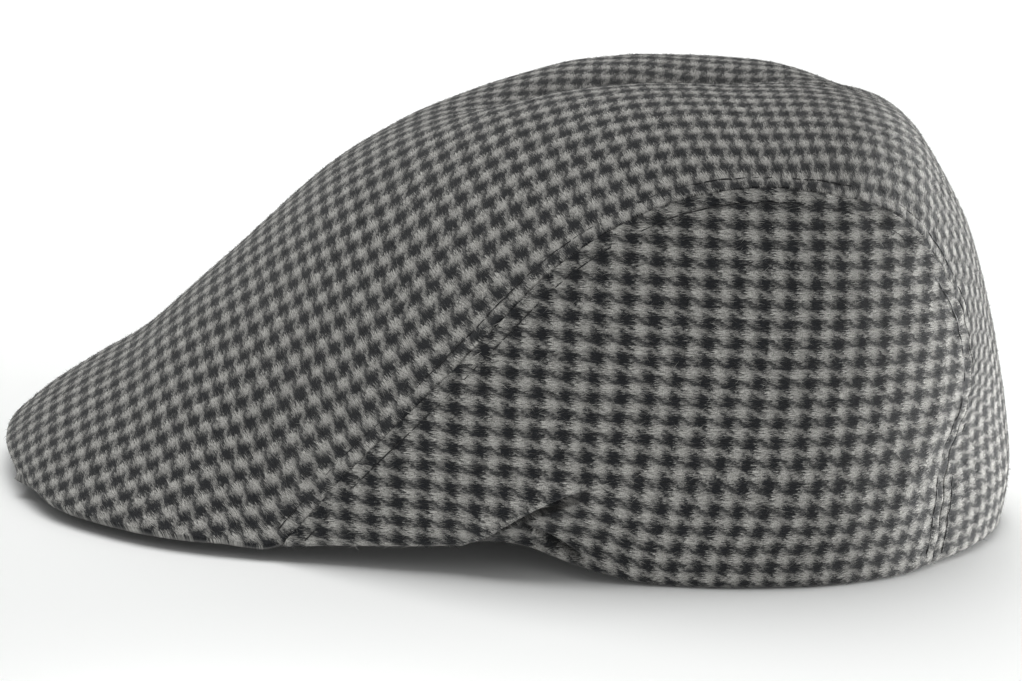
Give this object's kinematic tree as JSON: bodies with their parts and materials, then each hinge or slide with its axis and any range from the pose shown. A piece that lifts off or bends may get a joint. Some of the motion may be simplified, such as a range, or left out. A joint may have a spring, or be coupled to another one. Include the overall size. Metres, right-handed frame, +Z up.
{
  "type": "flat cap",
  "caption": "Duckbill flat cap of brushed check wool cloth: one top panel running over the crown and peak, two side panels, and a stiff curved peak under the front",
  "frame": {"origin": "under the middle of the cap's bounding box, on the surface that it rests on", "axes": "-X points forward to the tip of the peak, +X to the back of the head, +Y to the wearer's right, +Z up"},
  "size_m": [0.2628, 0.1802, 0.1125],
  "materials": {
    "check_cloth": "napped wool",
    "peak_cloth": "plain cloth"
  },
  "bodies": {
    "root": {"top_panel": "check_cloth", "left_side_panel": "check_cloth", "right_side_panel": "check_cloth", "peak": "peak_cloth"}
  },
  "joints": []
}
